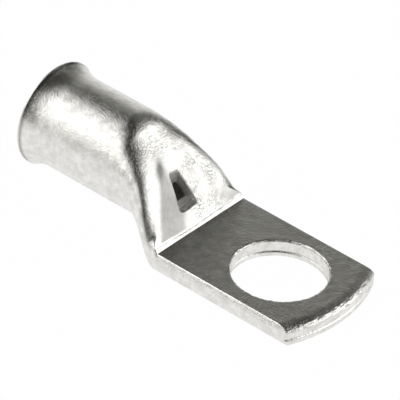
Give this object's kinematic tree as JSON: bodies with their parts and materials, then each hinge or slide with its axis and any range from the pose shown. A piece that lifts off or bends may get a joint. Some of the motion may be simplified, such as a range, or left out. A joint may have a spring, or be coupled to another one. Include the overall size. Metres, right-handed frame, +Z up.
{
  "type": "tubular cable lug",
  "caption": "Tubular crimp lug made from one length of tinned copper tube: a belled round barrel for the cable, pressed through a ramp into a flat palm with a stud hole.",
  "frame": {"origin": "centre of the stud hole on the palm's underside, the face that is bolted down", "axes": "+X along the lug towards the palm's tip, +Z up out of the palm's top face, +Y across the palm"},
  "size_m": [0.041, 0.0148, 0.0124],
  "materials": {
    "tinned_copper": "matt tin plating over copper"
  },
  "bodies": {
    "root": {"cable_lug": "tinned_copper"}
  },
  "joints": []
}
